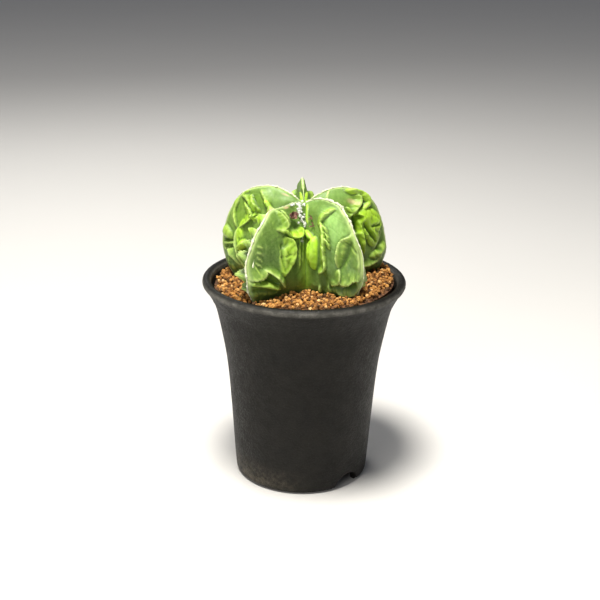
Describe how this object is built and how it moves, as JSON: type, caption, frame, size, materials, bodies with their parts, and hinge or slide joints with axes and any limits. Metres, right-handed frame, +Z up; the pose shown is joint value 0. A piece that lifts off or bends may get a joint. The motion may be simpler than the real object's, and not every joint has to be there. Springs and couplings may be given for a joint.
{
  "type": "potted fukuryu bishops cap cactus",
  "caption": "Squat ribbed cactus with lobed, pleated faces and felted rib edges, standing in granular soil in a flared matte pot.",
  "frame": {"origin": "centre of the pot's foot, on the surface that the pot stands on", "axes": "+Z up along the pot's axis; the valley between two ribs that shows in the picture faces -Y"},
  "size_m": [0.09, 0.09, 0.1338],
  "materials": {
    "pot_plastic": "fine-grained, dull, with a faint sheen on the lip",
    "soil_granules": "dry, dusty baked-clay granules",
    "cactus_skin": "smooth, slightly waxy skin without flecks, brighter on the lobes",
    "areole_felt": "short dense felt",
    "crown_wool": "loose pale wool",
    "dried_bud": "dry, crumpled"
  },
  "bodies": {
    "root": {"pot": "pot_plastic", "soil": "soil_granules", "cactus_body": "cactus_skin", "areole_felt_rib_1": "areole_felt", "areole_felt_rib_2": "areole_felt", "areole_felt_rib_3": "areole_felt", "areole_felt_rib_4": "areole_felt", "areole_felt_rib_5": "areole_felt", "crown_wool": "crown_wool", "dried_bud": "dried_bud"}
  },
  "joints": []
}
